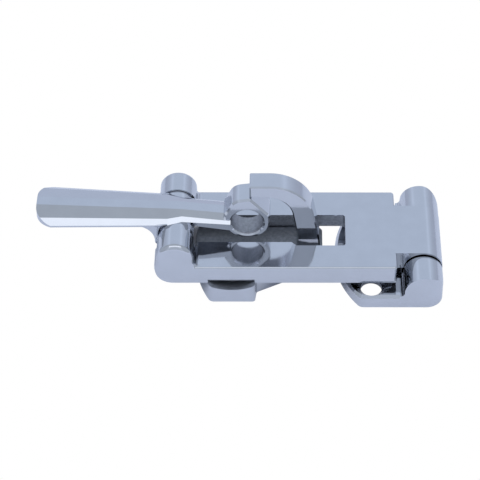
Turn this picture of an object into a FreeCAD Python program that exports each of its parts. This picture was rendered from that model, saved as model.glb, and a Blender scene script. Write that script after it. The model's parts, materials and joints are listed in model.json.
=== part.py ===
"""Over centre hold down latch in cast and polished stainless steel.

A slotted hasp is hinged to a leaf at its right end and forked at its left end. A lever is pinned
in the fork. The inner end of the lever is an eye with a cam corner on top, which stands under the
tip of a fixed hook, so that pressing the long handle down pulls the hasp onto the keeper. The
keeper and its hook are one casting, and the hook comes up through the slot of the hasp.

Millimetres, +Z up, +X from the handle towards the hinge, +Y to the rear. The origin is on the
mounting surface, midway between the two screw holes of the hinge leaf.
"""
import FreeCAD, Part
import math
import os

# Screws and pins
SCREW_HOLE_RADIUS = 2.65
PIN_CLEARANCE = 0.04
PIN_BLIND_WALL = 3.0

# Hinge leaf
LEAF_THICKNESS = 3.7
LEAF_WIDTH = 34.0
LEAF_NOSE_REACH = 8.9
LEAF_NOSE_BULGE = 6.0
LEAF_CORNER_RADIUS = 1.8
LEAF_NOSE_BEVEL = 0.7
LEAF_SCREW_SPACING = 22.6
LEAF_SCREW_LAND = 1.0
HINGE_REACH = 12.8
HINGE_HEIGHT = 4.9
LUG_RADIUS = 4.8
LUG_CORNER_RADIUS = 4.2
LUG_FOOT_ROUND = 1.18
KNUCKLE_WIDTH = 17.3
KNUCKLE_SIDE_GAP = 0.4
KNUCKLE_ROOM = 0.5
HINGE_PIN_RADIUS = 2.1

# Hasp
HASP_TOP = 10.5
HASP_RIM_DEPTH = 5.0
HASP_PLATE_THICKNESS = 3.8
HASP_RIM_WIDTH = 2.3
HASP_HINGE_WIDTH = 27.9
HASP_FORK_WIDTH = 28.1
HASP_SHOULDER_GAP = 1.9
HASP_END_RADIUS = 4.6
SLOT_REAR = 5.2
SLOT_FRONT = 5.9
SLOT_STEP = 1.2
SLOT_RIGHT_INSET = 12.5
SLOT_CORNER_RADIUS = 0.8
HOOK_POCKET_LENGTH = 13.4
RIM_RELIEF_LENGTH = 11.6
RIM_RELIEF_HEIGHT = 1.1
RIM_RELIEF_DEPTH = 0.45
HASP_EDGE_ROUND = 0.5
HASP_FORK_CORNER_RADIUS = 1.6
HASP_SHOULDER_CORNER_RADIUS = 0.8
HASP_POCKET_RADIUS = 2.0
SLOT_STEP_RADIUS = 0.5

# Lever pivot and the fork
PIVOT_REACH = 61.2
PIVOT_RISE = 2.5
FORK_HALF_GAP = 6.95
FORK_END_GAP = 1.15
EAR_RADIUS = 4.6
EAR_RIM_ROUND = 1.3
EAR_LEFT_FOOT = 0.6
EAR_RIGHT_FOOT = 1.5
EAR_BEND_ROUND = 2.0
EAR_ROOT_DEPTH = 3.0
LEVER_PIN_RADIUS = 1.8

# Lever
HUB_RADIUS = 4.1
HUB_SIDE_GAP = 0.15
HUB_HEEL_ROUND = 4.8
HUB_HEEL_DEPTH = 2.2
HUB_HEEL_FOOT_ROUND = 1.0
HUB_HEEL_LEAN = 1.15
HUB_ARM_ROUND = 1.2
HUB_WEB_RISE = 0.4
HANDLE_REACH = 34.4
HANDLE_TIP_HALF_WIDTH = 7.3
HANDLE_ROOT_REACH = 2.0
HANDLE_ROOT_HALF_WIDTH = 5.8
HANDLE_TIP_UNDERSIDE = 4.85
HANDLE_ROOT_UNDERSIDE = 3.6
HANDLE_CROWN = 0.7
HANDLE_CROWN_HALF_WIDTH = 1.4
HANDLE_EDGE_HEIGHT = 0.5
ARM_ROOT_REACH = 1.5
ARM_ROOT_HALF_WIDTH = 4.5
ARM_ROOT_EDGE_HEIGHT = 0.8
ARM_ROOT_BEVEL = 1.2
ARM_EDGE_HEIGHT = 1.9
BEVEL_SLOPE = 0.65
HANDLE_TIP_BEVEL = 1.8
HANDLE_ROOT_BEVEL = 1.4
ARM_BEVEL = 0.8
HANDLE_END_ROUND = 5.2
ARM_END_HALF_WIDTH = 4.2
ARM_END_UNDERSIDE = 1.0
ARM_END_OVERLAP = 1.0
EYE_REACH = 17.6
EYE_RISE = 2.7
EYE_RADIUS = 5.1
EYE_HALF_WIDTH = 3.3
EYE_HOLE_RADIUS = 3.9
EYE_EDGE_BEVEL = 0.5
CAM_HEIGHT = 7.7
CAM_FLANK_REACH = 5.7
CAM_FLANK_RISE = 2.2
CAM_FLANK_ROUND = 1.6
CAM_CORNER_REACH = 0.9
CAM_TIP_ROUND = 0.8
CAM_TOP_REACH = 3.2
CAM_TOP_DROP = 0.6
CAM_TOP_ROUND = 3.2
CAM_BACK_LEAN = 0.7

# Keeper and hook
KEEPER_SEAT_GAP = 0.05
KEEPER_WIDTH = 30.2
KEEPER_NOSE_REACH = 9.3
KEEPER_NOSE_BULGE = 4.0
KEEPER_CORNER_RADIUS = 1.6
KEEPER_SCREW_REACH = 34.7
KEEPER_SCREW_SPACING = 15.8
KEEPER_SCREW_LAND = 2.6
FLANGE_REACH = 5.8
FLANGE_CORNER_RADIUS = 0.8
WAIST_HALF_WIDTH = 11.8
TAIL_SHOULDER_REACH = 14.5
TAIL_SHOULDER_HALF_WIDTH = 7.4
TAIL_HALF_WIDTH = 5.2
TAIL_MARGIN = 0.9
SADDLE_LENGTH = 11.8
SADDLE_DEPTH = 1.4
PAD_HALF_WIDTH = 4.8
PAD_CORNER_RADIUS = 1.5
PAD_NOSE_INSET = 0.4
HOOK_HALF_WIDTH = 2.8
HOOK_RISER_LENGTH = 5.3
HOOK_RISER_INSET = 6.6
HOOK_LEAN = 3.0
HOOK_MOUTH_LEAN = 2.1
HOOK_MOUTH_DROP = 0.4
HOOK_BACK_RADIUS = 11.0
HOOK_MOUTH_RADIUS = 6.5
HOOK_FOOT_FLARE = 0.5
HOOK_TIP_THICKNESS = 3.4
HOOK_TIP_ROUND = 0.4
HOOK_EDGE_BEVEL = 0.35
HOOK_TIP_OVERLAP = 0.2
CAM_CLEARANCE = 0.2

# Two arcs that meet end to end keep this much line between them
ARC_MARGIN = 0.02
# Cutting shapes stand out this far past what they cut
CUT_MARGIN = 1.0
# Lines shorter than this are left out of an outline
LEAST_LINE = 1e-6


def point(x, y, z):
    return FreeCAD.Vector(x, y, z)


def rounded_wire(corners, place):
    """A closed outline whose corners (u, v, radius) are joined by tangent arcs."""
    edges = []
    starts = []
    ends = []
    middles = []
    count = len(corners)
    for index, (u, v, radius) in enumerate(corners):
        corner = point(u, v, 0)
        before_corner = corners[index - 1]
        before = point(before_corner[0], before_corner[1], 0) - corner
        after_corner = corners[(index + 1) % count]
        after = point(after_corner[0], after_corner[1], 0) - corner
        before.normalize()
        after.normalize()
        half_angle = before.getAngle(after) / 2
        reach = radius / math.tan(half_angle)
        bisector = (before + after).normalize()
        starts.append(corner + before * reach)
        ends.append(corner + after * reach)
        middles.append(corner + bisector * (radius / math.sin(half_angle) - radius))
    for index, (u, v, radius) in enumerate(corners):
        if radius > 0:
            arc_points = (starts[index], middles[index], ends[index])
            edges.append(Part.Arc(*[place(p.x, p.y) for p in arc_points]).toShape())
        line_start = ends[index]
        line_end = starts[(index + 1) % count]
        if line_start.distanceToPoint(line_end) > LEAST_LINE:
            start = place(line_start.x, line_start.y)
            end = place(line_end.x, line_end.y)
            edges.append(Part.LineSegment(start, end).toShape())
    return Part.Wire(edges)


def side_slab(corners, y_low, y_high):
    """A solid with a side view outline in X and Z."""
    wire = rounded_wire(corners, lambda u, v: point(u, y_low, v))
    return Part.Face(wire).extrude(point(0, y_high - y_low, 0))


def plan_plate(corners, z_low, z_high):
    """A solid with a plan outline in X and Y."""
    wire = rounded_wire(corners, lambda u, v: point(u, v, z_low))
    return Part.Face(wire).extrude(point(0, 0, z_high - z_low))


def rod(x, z, radius, y_low, y_high):
    return Part.makeCylinder(radius, y_high - y_low, point(x, y_low, z), point(0, 1, 0))


def mirrored(shape):
    """The same piece on the other side of the latch."""
    return shape.mirror(point(0, 0, 0), point(0, 1, 0))


def countersunk_hole(x, y, thickness, land, open_to):
    """A drilled hole with a 90 degree seat for a countersunk screw, and a clear way in above it."""
    drill = Part.makeCylinder(SCREW_HOLE_RADIUS, open_to + CUT_MARGIN * 2, point(x, y, -CUT_MARGIN))
    seat_depth = thickness - land
    seat_radius = SCREW_HOLE_RADIUS + seat_depth
    seat = Part.makeCone(SCREW_HOLE_RADIUS, seat_radius, seat_depth, point(x, y, land))
    way_in = Part.makeCylinder(seat_radius, open_to - thickness + CUT_MARGIN, point(x, y, thickness))
    return drill.fuse(seat).fuse(way_in)


def edges_where(shape, test):
    return [edge for edge in shape.Edges if test(edge)]


# Places worked out from the sizes above
HINGE_X = HINGE_REACH
HINGE_Z = HINGE_HEIGHT
HASP_WEB_BOTTOM = HASP_TOP - HASP_PLATE_THICKNESS
HASP_BOTTOM = HASP_TOP - HASP_RIM_DEPTH
SHOULDER_X = HINGE_X - LUG_RADIUS - HASP_SHOULDER_GAP
PIVOT_X = HINGE_X - PIVOT_REACH
PIVOT_Z = HASP_TOP + PIVOT_RISE
HASP_LEFT = PIVOT_X - EAR_RADIUS - EAR_LEFT_FOOT
FORK_END_X = PIVOT_X + HUB_RADIUS + FORK_END_GAP
SLOT_RIGHT = SHOULDER_X - SLOT_RIGHT_INSET
SLOT_LEFT = FORK_END_X - SLOT_CORNER_RADIUS
EYE_X = PIVOT_X + EYE_REACH
EYE_Z = PIVOT_Z + EYE_RISE
ARM_END_X = EYE_X - EYE_RADIUS + ARM_END_OVERLAP
CAM_X = EYE_X + CAM_CORNER_REACH
CAM_Z = EYE_Z + CAM_HEIGHT
HOOK_UNDERSIDE = CAM_Z + CAM_CLEARANCE
HUB_HALF_WIDTH = FORK_HALF_GAP - HUB_SIDE_GAP
LUG_INNER = KNUCKLE_WIDTH / 2 + KNUCKLE_SIDE_GAP


def nose_plate(right_x, nose_x, width, bulge, corner_radius, height):
    """A plate on the mounting surface, square at the right and bowed outwards at the left."""
    half = width / 2
    shoulder_x = nose_x + bulge
    plan = [
        (shoulder_x, -half, 0),
        (right_x, -half, 0),
        (right_x, half, 0),
        (shoulder_x, half, 0),
    ]
    square = plan_plate(plan, 0, height)
    bow_radius = (half ** 2 + bulge ** 2) / (2 * bulge)
    bow = Part.makeCylinder(bow_radius, height, point(nose_x + bow_radius, 0, 0))
    bow_box = Part.makeBox(bulge, width, height, point(nose_x, -half, 0))
    plate = square.fuse(bow.common(bow_box)).removeSplitter()
    upright = edges_where(plate, lambda e: e.BoundBox.ZLength > height / 2)
    corners = [edge for edge in upright if abs(edge.CenterOfMass.x - shoulder_x) < ARC_MARGIN]
    return plate.makeFillet(corner_radius, corners)


def leaf_plate(end_x):
    """The screw plate of the leaf, with its bowed edge bevelled along the top."""
    plate = nose_plate(
        end_x, -LEAF_NOSE_REACH, LEAF_WIDTH, LEAF_NOSE_BULGE, LEAF_CORNER_RADIUS, LEAF_THICKNESS
    )
    nose_end = -LEAF_NOSE_REACH + LEAF_NOSE_BULGE + LEAF_CORNER_RADIUS + ARC_MARGIN
    upper = edges_where(plate, lambda e: e.BoundBox.ZMin > LEAF_THICKNESS - ARC_MARGIN)
    nose_rim = [edge for edge in upper if edge.BoundBox.XMax < nose_end]
    return plate.makeChamfer(LEAF_NOSE_BEVEL, nose_rim)


def make_hinge_leaf():
    half = LEAF_WIDTH / 2
    end_x = HINGE_X + LUG_RADIUS
    lug_left = HINGE_X - LUG_RADIUS
    lug_top = HINGE_Z + LUG_RADIUS
    profile = [
        (lug_left - LUG_FOOT_ROUND, 0, 0),
        (end_x, 0, 0),
        (end_x, lug_top, LUG_RADIUS - ARC_MARGIN),
        (lug_left, lug_top, LUG_RADIUS - ARC_MARGIN),
        (lug_left, LEAF_THICKNESS, LUG_FOOT_ROUND - ARC_MARGIN),
        (lug_left - LUG_FOOT_ROUND, LEAF_THICKNESS, 0),
    ]
    body = leaf_plate(end_x).fuse(side_slab(profile, -half, half)).removeSplitter()
    blank_left = -LEAF_NOSE_REACH - CUT_MARGIN
    end_plan = [
        (blank_left, -half, 0),
        (end_x, -half, LUG_CORNER_RADIUS),
        (end_x, half, LUG_CORNER_RADIUS),
        (blank_left, half, 0),
    ]
    body = body.common(plan_plate(end_plan, 0, lug_top + CUT_MARGIN))
    room = rod(HINGE_X, HINGE_Z, LUG_RADIUS + KNUCKLE_ROOM, -LUG_INNER, LUG_INNER)
    gap_start = point(lug_left + KNUCKLE_ROOM * 2, -LUG_INNER, -CUT_MARGIN)
    gap = Part.makeBox(LUG_RADIUS * 2 + CUT_MARGIN, LUG_INNER * 2, lug_top + CUT_MARGIN * 2, gap_start)
    bore_radius = HINGE_PIN_RADIUS + PIN_CLEARANCE
    bore = rod(HINGE_X, HINGE_Z, bore_radius, -half + PIN_BLIND_WALL, half + CUT_MARGIN)
    body = body.cut(room).cut(gap).cut(bore)
    for y in (-LEAF_SCREW_SPACING / 2, LEAF_SCREW_SPACING / 2):
        body = body.cut(countersunk_hole(0, y, LEAF_THICKNESS, LEAF_SCREW_LAND, LEAF_THICKNESS))
    return body


def make_hinge_pin():
    half = LEAF_WIDTH / 2
    return rod(HINGE_X, HINGE_Z, HINGE_PIN_RADIUS, -half + PIN_BLIND_WALL, half)


def rounded_end(right_x, top_z):
    """What lies inside the rounded left end of the hasp."""
    reach = HASP_FORK_WIDTH / 2
    profile = [
        (HASP_LEFT, HASP_BOTTOM, HASP_END_RADIUS),
        (right_x, HASP_BOTTOM, 0),
        (right_x, top_z, 0),
        (HASP_LEFT, top_z, 0),
    ]
    return side_slab(profile, -reach, reach)


def ear():
    """The rear ear of the fork: a round topped lug with a soft outer rim, flared where it joins the hasp."""
    outer_y = HASP_FORK_WIDTH / 2
    left_x = PIVOT_X - EAR_RADIUS
    right_x = PIVOT_X + EAR_RADIUS
    root_z = HASP_TOP - EAR_ROOT_DEPTH
    root_x = right_x + EAR_RIGHT_FOOT * 2
    outline = [
        (HASP_LEFT, root_z, 0),
        (root_x, root_z, 0),
        (root_x, HASP_TOP, 0),
        (right_x, HASP_TOP, EAR_RIGHT_FOOT),
        (right_x, PIVOT_Z, 0),
        (left_x, PIVOT_Z, 0),
        (left_x, PIVOT_Z - EAR_RIGHT_FOOT, EAR_BEND_ROUND),
        (HASP_LEFT, HASP_TOP - EAR_RIGHT_FOOT / 2, EAR_BEND_ROUND),
    ]
    barrel = rod(PIVOT_X, PIVOT_Z, EAR_RADIUS, FORK_HALF_GAP, outer_y)
    lug = barrel.fuse(side_slab(outline, FORK_HALF_GAP, outer_y)).removeSplitter()
    outer = edges_where(lug, lambda e: e.BoundBox.YMin > outer_y - ARC_MARGIN)
    rim = [edge for edge in outer if edge.BoundBox.ZMax > HASP_TOP]
    return lug.makeFillet(EAR_RIM_ROUND, rim).common(rounded_end(root_x, PIVOT_Z + EAR_RADIUS))


def hasp_block():
    """The plate of the hasp with its rims: a soft edged block, hollowed from below."""
    hinge_half = HASP_HINGE_WIDTH / 2
    fork_half = HASP_FORK_WIDTH / 2
    plan = [
        (HASP_LEFT, -fork_half, HASP_FORK_CORNER_RADIUS),
        (SHOULDER_X, -hinge_half, HASP_SHOULDER_CORNER_RADIUS),
        (SHOULDER_X, hinge_half, HASP_SHOULDER_CORNER_RADIUS),
        (HASP_LEFT, fork_half, HASP_FORK_CORNER_RADIUS),
    ]
    block = plan_plate(plan, HASP_BOTTOM, HASP_TOP)
    upper = edges_where(block, lambda e: e.BoundBox.ZMin > HASP_TOP - ARC_MARGIN)
    block = block.makeFillet(HASP_EDGE_ROUND, upper).common(rounded_end(SHOULDER_X, HASP_TOP))
    pocket_left = HASP_LEFT + HASP_RIM_WIDTH
    pocket_right = SHOULDER_X - HASP_RIM_WIDTH
    pocket = [
        (pocket_left, -fork_half + HASP_RIM_WIDTH, HASP_POCKET_RADIUS),
        (pocket_right, -hinge_half + HASP_RIM_WIDTH, HASP_POCKET_RADIUS),
        (pocket_right, hinge_half - HASP_RIM_WIDTH, HASP_POCKET_RADIUS),
        (pocket_left, fork_half - HASP_RIM_WIDTH, HASP_POCKET_RADIUS),
    ]
    return block.cut(plan_plate(pocket, HASP_BOTTOM - CUT_MARGIN, HASP_WEB_BOTTOM))


def hasp_knuckle():
    """The barrel that turns on the hinge pin, running level into the top of the hasp."""
    root_x = SHOULDER_X - HASP_RIM_WIDTH
    left_x = HINGE_X - LUG_RADIUS
    right_x = HINGE_X + LUG_RADIUS
    low_z = HINGE_Z - LUG_RADIUS
    turn = LUG_RADIUS - ARC_MARGIN
    profile = [
        (root_x, HASP_BOTTOM, 0),
        (left_x, HASP_BOTTOM, 0),
        (left_x, low_z, turn),
        (right_x, low_z, turn),
        (right_x, HASP_TOP, turn),
        (root_x, HASP_TOP, 0),
    ]
    return side_slab(profile, -KNUCKLE_WIDTH / 2, KNUCKLE_WIDTH / 2)


def hasp_slot():
    """The opening for the hook and the eye, open at its left end into the fork."""
    step_x = SLOT_RIGHT - HOOK_POCKET_LENGTH
    outline = [
        (SLOT_LEFT, -SLOT_FRONT + SLOT_STEP, SLOT_CORNER_RADIUS),
        (step_x, -SLOT_FRONT + SLOT_STEP, SLOT_STEP_RADIUS),
        (step_x + SLOT_STEP, -SLOT_FRONT, SLOT_STEP_RADIUS),
        (SLOT_RIGHT, -SLOT_FRONT, SLOT_CORNER_RADIUS),
        (SLOT_RIGHT, SLOT_REAR, SLOT_CORNER_RADIUS),
        (SLOT_LEFT, SLOT_REAR, SLOT_CORNER_RADIUS),
    ]
    slot = plan_plate(outline, HASP_BOTTOM - CUT_MARGIN, HASP_TOP + CUT_MARGIN)
    fork_height = PIVOT_Z + EAR_RADIUS - HASP_BOTTOM + CUT_MARGIN * 2
    fork_start = point(HASP_LEFT - CUT_MARGIN, -FORK_HALF_GAP, HASP_BOTTOM - CUT_MARGIN)
    fork_length = FORK_END_X - HASP_LEFT + CUT_MARGIN
    return slot.fuse(Part.makeBox(fork_length, FORK_HALF_GAP * 2, fork_height, fork_start))


def rim_relief():
    """The shallow step in the foot of the front rim, over the saddle of the keeper."""
    left_x = -KEEPER_SCREW_REACH - RIM_RELIEF_LENGTH / 2
    start = point(left_x, -HASP_FORK_WIDTH / 2, HASP_BOTTOM - RIM_RELIEF_HEIGHT)
    return Part.makeBox(RIM_RELIEF_LENGTH, RIM_RELIEF_DEPTH * 2, RIM_RELIEF_HEIGHT * 2, start)


def make_hasp():
    fork_half = HASP_FORK_WIDTH / 2
    body = hasp_block().fuse(hasp_knuckle()).removeSplitter()
    body = body.fuse(ear()).fuse(mirrored(ear())).cut(hasp_slot())
    body = body.cut(rim_relief()).cut(mirrored(rim_relief()))
    hinge_bore = rod(HINGE_X, HINGE_Z, HINGE_PIN_RADIUS + PIN_CLEARANCE, -KNUCKLE_WIDTH, KNUCKLE_WIDTH)
    bore_radius = LEVER_PIN_RADIUS + PIN_CLEARANCE
    pin_bore = rod(PIVOT_X, PIVOT_Z, bore_radius, -fork_half + PIN_BLIND_WALL, fork_half + CUT_MARGIN)
    return body.cut(hinge_bore).cut(pin_bore).removeSplitter()


def make_lever_pin():
    half = HASP_FORK_WIDTH / 2
    return rod(PIVOT_X, PIVOT_Z, LEVER_PIN_RADIUS, -half + PIN_BLIND_WALL, half)


def bar_underside(x):
    """Height of the bar's flat lower face: straight from the tip to the pivot, and on to the eye."""
    root_z = PIVOT_Z + HANDLE_ROOT_UNDERSIDE
    if x < PIVOT_X:
        return root_z + (HANDLE_TIP_UNDERSIDE - HANDLE_ROOT_UNDERSIDE) * (PIVOT_X - x) / HANDLE_REACH
    return root_z + (ARM_END_UNDERSIDE - HANDLE_ROOT_UNDERSIDE) * (x - PIVOT_X) / (ARM_END_X - PIVOT_X)


def bar_section(x, half_width, edge_height, bevel):
    """One section of the handle and arm: flat below, low upright edges, sloping sides and a crowned top."""
    low = bar_underside(x)
    shoulder_half = half_width - bevel
    edge_z = low + edge_height
    shoulder_z = edge_z + bevel * BEVEL_SLOPE
    rear = [
        point(x, half_width, low),
        point(x, half_width, edge_z),
        point(x, shoulder_half, shoulder_z),
        point(x, HANDLE_CROWN_HALF_WIDTH, shoulder_z + HANDLE_CROWN),
    ]
    front = [point(x, -corner.y, corner.z) for corner in reversed(rear)]
    return Part.makePolygon(rear + front + rear[:1])


def make_lever_bar():
    tip_x = PIVOT_X - HANDLE_REACH
    root_x = PIVOT_X - HANDLE_ROOT_REACH
    arm_x = PIVOT_X + ARM_ROOT_REACH
    sections = [
        bar_section(tip_x, HANDLE_TIP_HALF_WIDTH, HANDLE_EDGE_HEIGHT, HANDLE_TIP_BEVEL),
        bar_section(root_x, HANDLE_ROOT_HALF_WIDTH, HANDLE_EDGE_HEIGHT, HANDLE_ROOT_BEVEL),
        bar_section(arm_x, ARM_ROOT_HALF_WIDTH, ARM_ROOT_EDGE_HEIGHT, ARM_ROOT_BEVEL),
        bar_section(ARM_END_X, ARM_END_HALF_WIDTH, ARM_EDGE_HEIGHT, ARM_BEVEL),
    ]
    bar = Part.makeLoft(sections, True, True)
    blank_half = HANDLE_TIP_HALF_WIDTH + ARC_MARGIN
    end_plan = [
        (tip_x, -blank_half, HANDLE_END_ROUND),
        (EYE_X, -blank_half, 0),
        (EYE_X, blank_half, 0),
        (tip_x, blank_half, HANDLE_END_ROUND),
    ]
    return bar.common(plan_plate(end_plan, 0, CAM_Z))


def make_hub():
    """The barrel between the ears, with hollow rounds where it runs up into the bar."""
    barrel = rod(PIVOT_X, PIVOT_Z, HUB_RADIUS, -HUB_HALF_WIDTH, HUB_HALF_WIDTH)
    left_x = PIVOT_X - HUB_RADIUS
    right_x = PIVOT_X + HUB_RADIUS
    heel_x = left_x - HUB_HEEL_LEAN - HUB_HEEL_ROUND
    arm_x = right_x + HUB_ARM_ROUND
    heel_z = bar_underside(heel_x)
    arm_z = bar_underside(arm_x)
    low_z = PIVOT_Z - HUB_HEEL_DEPTH
    heel = [
        (left_x - HUB_HEEL_LEAN, low_z, HUB_HEEL_FOOT_ROUND),
        (PIVOT_X - HANDLE_ROOT_REACH, low_z, 0),
        (PIVOT_X - HANDLE_ROOT_REACH, heel_z + HUB_WEB_RISE, 0),
        (heel_x, heel_z + HUB_WEB_RISE, 0),
        (heel_x, heel_z, 0),
        (left_x - HUB_HEEL_LEAN, heel_z, HUB_HEEL_ROUND - ARC_MARGIN),
    ]
    web = [
        (PIVOT_X, low_z, 0),
        (right_x, low_z, 0),
        (right_x, arm_z, HUB_ARM_ROUND - ARC_MARGIN),
        (arm_x, arm_z, 0),
        (arm_x, arm_z + HUB_WEB_RISE, 0),
        (PIVOT_X, arm_z + HUB_WEB_RISE, 0),
    ]
    barrel = barrel.fuse(side_slab(heel, -HANDLE_ROOT_HALF_WIDTH, HANDLE_ROOT_HALF_WIDTH))
    return barrel.fuse(side_slab(web, -ARM_END_HALF_WIDTH, ARM_END_HALF_WIDTH))


def make_eye():
    """The padlock eye, with the cam corner that bears on the hook standing over it."""
    left_x = EYE_X - EYE_RADIUS
    right_x = EYE_X + CAM_FLANK_REACH
    low_z = EYE_Z - EYE_RADIUS
    outline = [
        (left_x, low_z, EYE_RADIUS - ARC_MARGIN),
        (right_x, low_z, EYE_RADIUS - ARC_MARGIN),
        (right_x, EYE_Z + CAM_FLANK_RISE, CAM_FLANK_ROUND),
        (CAM_X, CAM_Z, CAM_TIP_ROUND),
        (EYE_X - CAM_TOP_REACH, CAM_Z - CAM_TOP_DROP, CAM_TOP_ROUND),
        (left_x - CAM_BACK_LEAN, EYE_Z + CAM_FLANK_RISE, CAM_FLANK_ROUND),
    ]
    eye = side_slab(outline, -EYE_HALF_WIDTH, EYE_HALF_WIDTH)
    eye = eye.cut(rod(EYE_X, EYE_Z, EYE_HOLE_RADIUS, -EYE_RADIUS, EYE_RADIUS))
    rims = edges_where(eye, lambda e: e.BoundBox.YLength < ARC_MARGIN)
    return eye.makeChamfer(EYE_EDGE_BEVEL, rims)


def make_lever():
    body = make_lever_bar().fuse(make_hub()).fuse(make_eye()).removeSplitter()
    bore_half = HUB_HALF_WIDTH + CUT_MARGIN
    return body.cut(rod(PIVOT_X, PIVOT_Z, LEVER_PIN_RADIUS + PIN_CLEARANCE, -bore_half, bore_half))


def keeper_plan(nose_x, centre_x, tail_x):
    """The keeper seen from above: a wide flange under the rims, narrowing to a tail under the hook."""
    waist_x = centre_x + FLANGE_REACH
    front = [
        (nose_x - CUT_MARGIN, -KEEPER_WIDTH / 2, 0),
        (waist_x, -KEEPER_WIDTH / 2, FLANGE_CORNER_RADIUS),
        (waist_x + FLANGE_CORNER_RADIUS / 2, -WAIST_HALF_WIDTH, FLANGE_CORNER_RADIUS),
        (centre_x + TAIL_SHOULDER_REACH, -TAIL_SHOULDER_HALF_WIDTH, FLANGE_REACH),
        (tail_x, -TAIL_HALF_WIDTH, TAIL_HALF_WIDTH / 2),
    ]
    rear = [(x, -y, radius) for x, y, radius in reversed(front)]
    return front + rear


def hook_bar(left_x, right_x, seat_z):
    """The hook from its root in the keeper up through the slot and over to the cam."""
    top_z = HOOK_UNDERSIDE + HOOK_TIP_THICKNESS
    tip_x = CAM_X - HOOK_TIP_OVERLAP
    outline = [
        (tip_x, HOOK_UNDERSIDE, HOOK_TIP_ROUND),
        (left_x - HOOK_MOUTH_LEAN, HOOK_UNDERSIDE - HOOK_MOUTH_DROP, HOOK_MOUTH_RADIUS),
        (left_x, HASP_TOP, HOOK_BACK_RADIUS),
        (left_x - HOOK_FOOT_FLARE, seat_z, 0),
        (right_x + HOOK_FOOT_FLARE, seat_z, 0),
        (right_x, HASP_TOP, HOOK_BACK_RADIUS),
        (right_x - HOOK_LEAN, top_z, HOOK_BACK_RADIUS),
        (tip_x, top_z, HOOK_TIP_ROUND),
    ]
    bar = side_slab(outline, -HOOK_HALF_WIDTH, HOOK_HALF_WIDTH)
    side_edges = edges_where(bar, lambda e: e.BoundBox.YLength < ARC_MARGIN)
    rims = [edge for edge in side_edges if edge.BoundBox.ZMax > seat_z + CUT_MARGIN]
    return bar.makeChamfer(HOOK_EDGE_BEVEL, rims)


def make_keeper():
    centre_x = -KEEPER_SCREW_REACH
    nose_x = centre_x - KEEPER_NOSE_REACH
    seat_z = HASP_BOTTOM - KEEPER_SEAT_GAP
    floor_z = seat_z - SADDLE_DEPTH
    riser_right = SLOT_RIGHT - HOOK_RISER_INSET
    tail_x = riser_right + TAIL_MARGIN
    body = nose_plate(tail_x, nose_x, KEEPER_WIDTH, KEEPER_NOSE_BULGE, KEEPER_CORNER_RADIUS, seat_z)
    body = body.common(plan_plate(keeper_plan(nose_x, centre_x, tail_x), 0, seat_z))
    saddle_radius = ((SADDLE_LENGTH / 2) ** 2 + SADDLE_DEPTH ** 2) / (2 * SADDLE_DEPTH)
    body = body.cut(rod(centre_x, floor_z + saddle_radius, saddle_radius, -KEEPER_WIDTH, KEEPER_WIDTH))
    pad = [
        (nose_x + PAD_NOSE_INSET, -PAD_HALF_WIDTH, PAD_CORNER_RADIUS),
        (tail_x, -PAD_HALF_WIDTH, PAD_CORNER_RADIUS),
        (tail_x, PAD_HALF_WIDTH, PAD_CORNER_RADIUS),
        (nose_x + PAD_NOSE_INSET, PAD_HALF_WIDTH, PAD_CORNER_RADIUS),
    ]
    body = body.fuse(plan_plate(pad, 0, HASP_WEB_BOTTOM - KEEPER_SEAT_GAP))
    body = body.fuse(hook_bar(riser_right - HOOK_RISER_LENGTH, riser_right, seat_z)).removeSplitter()
    for y in (-KEEPER_SCREW_SPACING / 2, KEEPER_SCREW_SPACING / 2):
        body = body.cut(countersunk_hole(centre_x, y, floor_z, KEEPER_SCREW_LAND, HASP_WEB_BOTTOM))
    return body


def export(name, shape):
    print(name, "solids", len(shape.Solids), "valid", shape.isValid(), "volume", round(shape.Volume, 1))
    shape.Solids[0].exportStep(os.path.join("parts", name + ".step"))


os.makedirs("parts", exist_ok=True)
export("hinge_leaf", make_hinge_leaf())
export("hinge_pin", make_hinge_pin())
export("hasp", make_hasp())
export("lever_pin", make_lever_pin())
export("lever", make_lever())
export("keeper", make_keeper())
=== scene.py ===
# %% [markdown]
# # An over centre hold down latch in polished stainless steel
#
# The real latch is six pieces of cast and polished steel: a hinge leaf with its pin, a slotted
# hasp, a lever with its pin, and a keeper whose hook comes up through the slot. Their shapes come
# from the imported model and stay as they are. What is made here is what gives the pieces their look:
# the finish of the metal, the light that it mirrors, the floor, and the camera at the angle of the
# photograph.

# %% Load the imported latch
import json
import math

import bpy
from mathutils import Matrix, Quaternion, Vector

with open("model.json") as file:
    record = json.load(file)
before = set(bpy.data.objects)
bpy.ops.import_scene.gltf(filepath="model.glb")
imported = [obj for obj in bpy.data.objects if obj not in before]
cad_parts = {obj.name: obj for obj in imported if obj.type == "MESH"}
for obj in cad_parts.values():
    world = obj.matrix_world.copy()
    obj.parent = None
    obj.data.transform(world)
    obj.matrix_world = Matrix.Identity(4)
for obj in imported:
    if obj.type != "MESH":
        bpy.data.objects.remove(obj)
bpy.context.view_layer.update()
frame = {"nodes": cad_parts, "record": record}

MM = 0.001
nodes = frame["nodes"]
print("pieces:", ", ".join(sorted(nodes)))

# %% [markdown]
# ## The camera
#
# The photograph was taken with a long lens from in front and above. Two cues give the angle: round
# ends that look like ellipses give a height of about 43 degrees, and the edges that run front to
# back, which meet far above the picture, give the lens and a turn of about two degrees. The picture
# is 480 pixels wide, and a millimetre of the latch is four pixels there, which with the lens gives
# the distance.

# %% Place the camera
FRAME_PX = 480
SENSOR_MM = 36.0
LENS_MM = 152.0
PX_PER_MM = 4.0
CAMERA_ELEVATION = math.radians(43.5)
CAMERA_TURN = math.radians(1.9)
CAMERA_ROLL = math.radians(1.27)
picture_centre = Vector((-32.7, 0, 10.6)) * MM
below_centre_px = 11.2

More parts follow.
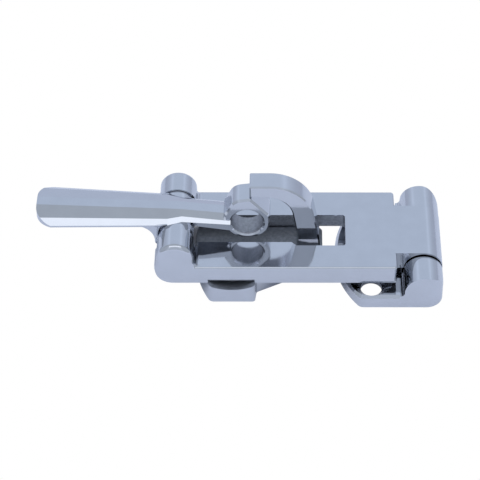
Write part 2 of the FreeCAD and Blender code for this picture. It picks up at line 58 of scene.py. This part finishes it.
forward = Vector((
    -math.sin(CAMERA_TURN) * math.cos(CAMERA_ELEVATION),
    math.cos(CAMERA_TURN) * math.cos(CAMERA_ELEVATION),
    -math.sin(CAMERA_ELEVATION),
))
turn = forward.to_track_quat("-Z", "Y") @ Quaternion((0, 0, 1), -CAMERA_ROLL)
up = turn @ Vector((0, 1, 0))
target = picture_centre - up * (below_centre_px / PX_PER_MM * MM)
distance = LENS_MM / SENSOR_MM * FRAME_PX / PX_PER_MM * MM

lens = bpy.data.cameras.new("camera")
lens.lens = LENS_MM
lens.sensor_width = SENSOR_MM
lens.clip_start = 0.05
lens.clip_end = 20
camera = bpy.data.objects.new("camera", lens)
camera.location = target - forward * distance
camera.rotation_mode = "QUATERNION"
camera.rotation_quaternion = turn
bpy.context.scene.collection.objects.link(camera)
bpy.context.scene.camera = camera
print("camera at, mm:", [round(x / MM) for x in camera.location])

# %% [markdown]
# ## Sums on shader sockets
#
# A material is a web of nodes, and most of them only add or multiply. One small class wraps a
# socket, so that such a sum is written as a sum. Every other node comes from the material's `add`,
# which takes the kind of node, its settings, and the values or links of its sockets. The sockets
# that have no name of their own are named here by their number.

# %% The socket class
SKY_DIRECTION, OBJECT_NORMAL, OBJECT_PLACE = 0, 1, 3
CAMERA_RAY = 0
MIX_FIRST, MIX_SECOND, MIX_RESULT = 6, 7, 2
AO_SHARE = 1


class Link:
    """An output socket on which sums can be written."""

    def __init__(self, recipe, socket):
        self.recipe = recipe
        self.socket = socket

    def sum(self, operation, first, second):
        return self.recipe.sum_of(operation, first, second)

    def __add__(self, other):
        return self.sum("ADD", self, other)

    def __sub__(self, other):
        return self.sum("SUBTRACT", self, other)

    def __mul__(self, other):
        return self.sum("MULTIPLY", self, other)

    __radd__ = __add__
    __rmul__ = __mul__


class Recipe:
    """The node tree of a material or of the world."""

    def __init__(self, owner):
        owner.use_nodes = True
        self.tree = owner.node_tree
        self.tree.nodes.clear()

    def add(self, kind, settings=None, inputs=None, output=0):
        node = self.tree.nodes.new(kind)
        for name, value in (settings or {}).items():
            if name == "ramp":
                self.set_ramp(node.color_ramp, value)
            else:
                setattr(node, name, value)
        for name, value in (inputs or {}).items():
            if isinstance(value, Link):
                self.tree.links.new(value.socket, node.inputs[name])
            else:
                node.inputs[name].default_value = value
        return Link(self, node.outputs[output]) if node.outputs else None

    def set_ramp(self, ramp, stops):
        while len(ramp.elements) < len(stops):
            ramp.elements.new(0.5)
        for element, (place, colour) in zip(ramp.elements, stops):
            element.position = place
            element.color = (*colour, 1)

    def ramp(self, value, stops):
        return self.add("ShaderNodeValToRGB", {"ramp": stops}, {"Fac": value})

    def sum_of(self, operation, first, second):
        return self.add("ShaderNodeMath", {"operation": operation}, {0: first, 1: second})

    def axes(self, vector):
        inputs = {"Vector": vector}
        return [self.add("ShaderNodeSeparateXYZ", {}, inputs, output=i) for i in range(3)]

    def below(self, value, limit):
        return self.sum_of("LESS_THAN", value, limit)

    def mixed(self, amount, first, second, way="MIX"):
        settings = {"data_type": "RGBA", "blend_type": way}
        inputs = {"Factor": amount, MIX_FIRST: first, MIX_SECOND: second}
        return self.add("ShaderNodeMix", settings, inputs, output=MIX_RESULT)

    def noise(self, where, size_mm, detail, roughness):
        inputs = {"Vector": where, "Detail": detail, "Roughness": roughness}
        inputs["Scale"] = 1 / (size_mm * MM)
        return self.add("ShaderNodeTexNoise", {}, inputs)


print("socket class ready")

# %% [markdown]
# ## Polished stainless steel
#
# The castings were ground and buffed by hand. They mirror what is round them, softly, and the
# mirror is not quite flat: long shallow waves are left by the wheel, fine lines run along the bars,
# and a faint haze stays where the wheel doesn't reach. So the colour is nearly even and the detail
# is in the roughness and in a very low bump. The undersides are as cast: duller, darker and grainy,
# and their darker colour is partly the cast surface and partly painted shade. The walls of the slot,
# the bore of the eye and the pad of the keeper in the slot, where no wheel fits, are rough and grainy
# too; the bore and the pad are darkened as painted shade. The rest of the keeper's top under the
# hasp is rough but not dark. The normal and the place in object coordinates tell them apart: each
# mask below gives two amounts, how rough a place is and how dark, and the dark one paints shade.

# %% The finish of the castings, with painted shade in the hollows
SLOT_HALF = 6.1 * MM
SLOT_END_X = -5.5 * MM
RIM_ROUND = 0.3 * MM
KEEPER_TOP = 6.9 * MM
PAD_MARGIN = 1.0 * MM
FACING_UP = 0.3
BORE_WALL = 0.1 * MM

FACING_DOWN = (-0.75, -0.95)
# The undersides' share of the colour: darker as cast, and darker still as painted shade.
UNDERSIDE_CAST_AND_SHADE_SHARE = 0.58
AS_CAST_ROUGHER = 0.35
AS_CAST_HEIGHT = 0.06 * MM
LINE_HEIGHT = 0.0006 * MM
LINE_STRETCH = (0.06, 1, 1)
# Each pattern: its size in mm, its detail and its roughness.
LINES = (0.22, 3.0, 0.6)
WAVES = (9.0, 1.0, 0.4)
SMEARS = (5.0, 4.0, 0.6)
GRAIN = (0.7, 4.0, 0.65)
# Each stop: its place on the pattern and the share of the colour there.
GRAIN_STOPS = ((0.3, 0.78), (0.7, 1.22))
SMEAR_STOPS = ((0.3, 0.97), (0.7, 1.02))
SMEAR_HAZE = 0.10
LINE_HAZE = 0.05
MEAN_HAZE = 0.075

hasp_top = max(v.co.z for v in nodes["hasp"].data.vertices if abs(v.co.x) < SLOT_HALF)
padlock_eye = next(m for m in frame["record"]["mounts"] if m["name"] == "padlock_eye")


def in_slot(recipe, axes, tilt):
    x, y, z = axes
    inside = recipe.below(recipe.sum_of("ABSOLUTE", y, 0), SLOT_HALF)
    walls = inside * recipe.below(x, SLOT_END_X) * recipe.below(z, hasp_top - RIM_ROUND)
    return walls, walls


# The bore of the eye is rough, and the lever's wall share darkens it as painted shade.
def in_eye(recipe, axes, tilt):
    eye = padlock_eye["pos_m"]
    across = axes[0] - eye[0]
    above = axes[2] - eye[2]
    bore = padlock_eye["dims"]["r_mm"] * MM + BORE_WALL
    wall = recipe.below(across * across + above * above, bore ** 2)
    return wall, wall


# The keeper's top under the hasp is rough, and its pad in the slot is darkened as painted shade.
def under_hasp(recipe, axes, tilt):
    hidden = recipe.below(axes[2], KEEPER_TOP) * recipe.below(FACING_UP, tilt)
    on_pad = recipe.below(recipe.sum_of("ABSOLUTE", axes[1], 0), SLOT_HALF + PAD_MARGIN)
    return hidden, hidden * on_pad


def shades(colour, stops, share=1.0):
    return [(place, tuple(c * share * amount for c in colour)) for place, amount in stops]


def steel(name, colour, haze, wave_depth_mm, unpolished_and_shaded=None, wall_cast_and_shade_share=1.0):
    material = bpy.data.materials.new(name)
    recipe = Recipe(material)
    place = recipe.add("ShaderNodeTexCoord", output=OBJECT_PLACE)
    normal = recipe.add("ShaderNodeTexCoord", output=OBJECT_NORMAL)
    tilt = recipe.axes(normal)[2]
    underside = recipe.add(
        "ShaderNodeMapRange", {"interpolation_type": "SMOOTHSTEP"},
        {"Value": tilt, "From Min": FACING_DOWN[0], "From Max": FACING_DOWN[1]},
    )
    rough_walls, dark_walls = 0.0, 0.0
    if unpolished_and_shaded:
        rough_walls, dark_walls = unpolished_and_shaded(recipe, recipe.axes(place), tilt)
    along = recipe.add("ShaderNodeMapping", {}, {"Vector": place, "Scale": LINE_STRETCH})
    lines = recipe.noise(along, *LINES)
    waves = recipe.noise(place, *WAVES)
    smears = recipe.noise(place, *SMEARS)
    grain = recipe.noise(place, *GRAIN)

    tint = recipe.ramp(smears, shades(colour, SMEAR_STOPS))
    # Painted shade: the undersides, and the walls that a mask marks dark, get a darker share of the
    # colour.
    under_cast_and_shade_tint = recipe.ramp(grain, shades(colour, GRAIN_STOPS, UNDERSIDE_CAST_AND_SHADE_SHARE))
    wall_cast_and_shade_tint = recipe.ramp(grain, shades(colour, GRAIN_STOPS, wall_cast_and_shade_share))
    base = recipe.mixed(dark_walls, recipe.mixed(underside, tint, under_cast_and_shade_tint), wall_cast_and_shade_tint)

    as_cast = recipe.sum_of("MAXIMUM", underside, rough_walls)
    polished = haze + smears * SMEAR_HAZE + lines * LINE_HAZE - MEAN_HAZE
    rough = polished + as_cast * AS_CAST_ROUGHER
    buffed = waves * (wave_depth_mm * MM) + lines * LINE_HEIGHT
    height = buffed + grain * as_cast * AS_CAST_HEIGHT
    bump = recipe.add("ShaderNodeBump", {}, {"Strength": 1.0, "Distance": 1.0, "Height": height})
    surface = recipe.add(
        "ShaderNodeBsdfPrincipled", {},
        {"Base Color": base, "Metallic": 1.0, "Roughness": rough, "Normal": bump},
    )
    recipe.add("ShaderNodeOutputMaterial", {}, {"Surface": surface})
    return material


CAST_COLOUR = (0.60, 0.62, 0.66)
CAST_HAZE = 0.09
CAST_WAVE_MM = 0.03
PIN_COLOUR = (0.46, 0.48, 0.52)
PIN_HAZE = 0.24
# Each casting's finish and, where a wheel can't reach all of it, its mask and the walls' share of
# the colour; a share below one is painted shade.
castings = {
    "hinge_leaf": ("polished_leaf",),
    "hasp": ("polished_hasp", in_slot, 1.0),
    "lever": ("polished_lever", in_eye, 0.62),
    "keeper": ("polished_keeper", under_hasp, 0.40),
}
pin_steel = steel("ground_pin", PIN_COLOUR, PIN_HAZE, 0.0)
finishes = {"hinge_pin": pin_steel, "lever_pin": pin_steel}
for name, (finish_name, *walls) in castings.items():
    finishes[name] = steel(finish_name, CAST_COLOUR, CAST_HAZE, CAST_WAVE_MM, *walls)
for name, finish in finishes.items():
    nodes[name].data.materials.clear()
    nodes[name].data.materials.append(finish)
print("materials:", [m.name for m in bpy.data.materials if m.users])

# %% [markdown]
# ## What the metal mirrors
#
# A mirror has no look of its own. In the photograph the latch stands in a light tent: bluish cloth
# behind it, a greyer stretch above that, and one narrow bright panel overhead, which is the white
# band along the handle. The world gives the cloth as a ramp by angle, from straight down over the
# back wall and the ceiling to the front, and its folds as a second ramp towards the sides, which
# draws the stripes on the round ends. What the camera sees directly is white. A lamp that the metal
# doesn't mirror lights the table, because the front faces mirror only that.

# %% The tent
QUARTER_TURN = 90
FULL_TURN = 360
FLAT_LEVEL = 0.885


def turns(degrees):
    """Place on the ramp: 0 straight down, 0.25 back horizon, 0.5 overhead, 0.75 front horizon."""
    return (degrees + QUARTER_TURN) / FULL_TURN


FOLDS = ((0.30, FLAT_LEVEL), (0.42, 1.0), (0.50, 0.88), (0.64, 0.75))
world = bpy.data.worlds.new("tent")
bpy.context.scene.world = world
tent = Recipe(world)
sideward, rearward, upward = tent.axes(tent.add("ShaderNodeTexCoord", output=SKY_DIRECTION))
round_angle = tent.sum_of("ARCTAN2", rearward * -1, upward)
place_round = round_angle * (0.5 / math.pi) + 0.5
cloth = tent.ramp(place_round, [
    (turns(-60), (0.51, 0.53, 0.59)),
    (turns(0), (0.66, 0.72, 0.90)),
    (turns(40), (0.72, 0.82, 1.00)),
    (turns(50), (0.68, 0.78, 0.96)),
    (turns(54), (0.58, 0.64, 0.73)),
    (turns(86), (0.61, 0.67, 0.75)),
    (turns(94), (0.70, 0.77, 0.90)),
    (turns(200), (0.61, 0.67, 0.77)),
])
folds = tent.ramp(tent.sum_of("ABSOLUTE", sideward, 0), shades((1, 1, 1), FOLDS))
folded_cloth = tent.mixed(1.0, cloth, folds, "MULTIPLY")
seen = tent.add("ShaderNodeLightPath", output=CAMERA_RAY)
white = tent.add("ShaderNodeBackground", {}, {"Color": (1, 1, 1, 1), "Strength": 1.0})
around = tent.add("ShaderNodeBackground", {}, {"Color": folded_cloth, "Strength": 1.0})
sky = tent.add("ShaderNodeMixShader", {}, {0: seen, 1: around, 2: white})
tent.add("ShaderNodeOutputWorld", {}, {"Surface": sky})


def panel(name, place, size, power, aim, mirrored=True):
    light = bpy.data.lights.new(name, "AREA")
    light.shape = "RECTANGLE"
    light.size = size[0]
    light.size_y = size[1]
    light.energy = power
    lamp = bpy.data.objects.new(name, light)
    lamp.location = place
    lamp.visible_glossy = mirrored
    lamp.rotation_mode = "QUATERNION"
    lamp.rotation_quaternion = (aim - Vector(place)).to_track_quat("-Z", "Y")
    bpy.context.scene.collection.objects.link(lamp)


PANEL_ANGLE = math.radians(109.5)
PANEL_DISTANCE = 0.95
PANEL_SIZE = (1.2, 0.34)
PANEL_POWER = 0.90
TABLE_LAMP_PLACE = (0, -0.6, 0.9)
TABLE_LAMP_SIZE = (0.8, 0.6)
TABLE_LAMP_POWER = 5.8
panel_place = Vector((0, math.cos(PANEL_ANGLE), math.sin(PANEL_ANGLE))) * PANEL_DISTANCE
panel("overhead_panel", panel_place, PANEL_SIZE, PANEL_POWER, target)
panel("table_lamp", TABLE_LAMP_PLACE, TABLE_LAMP_SIZE, TABLE_LAMP_POWER, target, mirrored=False)

# %% [markdown]
# ## The table
#
# To the camera the table is plain white, and to the metal it is the pale blue paper that the front
# faces mirror. White paper would shine through the gap beside the fork and through the front screw
# hole of the keeper, which are dark in the photograph. So the table has a contact shade at those
# two spots, and only where something closes it off from above: it goes when the latch opens.

# %% The floor
FLOOR_HALF = 3.0
PAPER_COLOUR = (0.68, 0.71, 0.80, 1)
PAPER_ROUGHNESS = 0.8
SHADE_REACH = 25 * MM
OPEN_SHARE = 1.8
SHADE_STOPS = ((0.75, (0.06, 0.065, 0.08)), (0.9, (0.20, 0.23, 0.30)), (1.0, (1, 1, 1)))
FORK_SHADE = (Vector((-44.4, 5, 0)) * MM, Vector((2.2, 9.5, 0)) * MM)
screws = next(m for m in frame["record"]["mounts"] if m["name"] == "keeper_screws")
screw_half = screws["dims"]["spacing_y_mm"] / 2 * MM
HOLE_SHADE = (Vector((screws["pos_m"][0], -screw_half, 0)), Vector((4, 4, 0)) * MM)
bpy.ops.object.select_all(action="DESELECT")
bpy.ops.mesh.primitive_plane_add(size=FLOOR_HALF * 2, location=(0, 0, 0))
floor = bpy.context.object
floor.name = "floor"
floor_material = bpy.data.materials.new("white_table")
table = Recipe(floor_material)
rays = table.add("ShaderNodeLightPath", output=CAMERA_RAY)
paper = table.add(
    "ShaderNodeBsdfPrincipled", {}, {"Base Color": PAPER_COLOUR, "Roughness": PAPER_ROUGHNESS}
)
spot = table.axes(table.add("ShaderNodeTexCoord", output=OBJECT_PLACE))


def distance_from(centre, half):
    """Square of the distance, counted in half widths of the ellipse."""
    across = (spot[0] - centre.x) * (1 / half.x)
    along = (spot[1] - centre.y) * (1 / half.y)
    return across * across + along * along


nearest = table.sum_of("MINIMUM", distance_from(*FORK_SHADE), distance_from(*HOLE_SHADE))
openness = table.add(
    "ShaderNodeAmbientOcclusion", {"samples": 8}, {"Distance": SHADE_REACH}, output=AO_SHARE
)
shade = table.ramp(table.sum_of("MAXIMUM", nearest, openness * OPEN_SHARE), SHADE_STOPS)
glow = table.add("ShaderNodeEmission", {}, {"Color": shade, "Strength": 1.0})
paper_seen = table.add("ShaderNodeMixShader", {}, {0: rays, 1: paper, 2: glow})
table.add("ShaderNodeOutputMaterial", {}, {"Surface": paper_seen})
floor.data.materials.append(floor_material)
print("floor, m:", FLOOR_HALF * 2)

# %% [markdown]
# ## The view transform
#
# The picture is drawn with the standard view transform.

# %% Set the view transform
bpy.context.scene.view_settings.view_transform = "Standard"
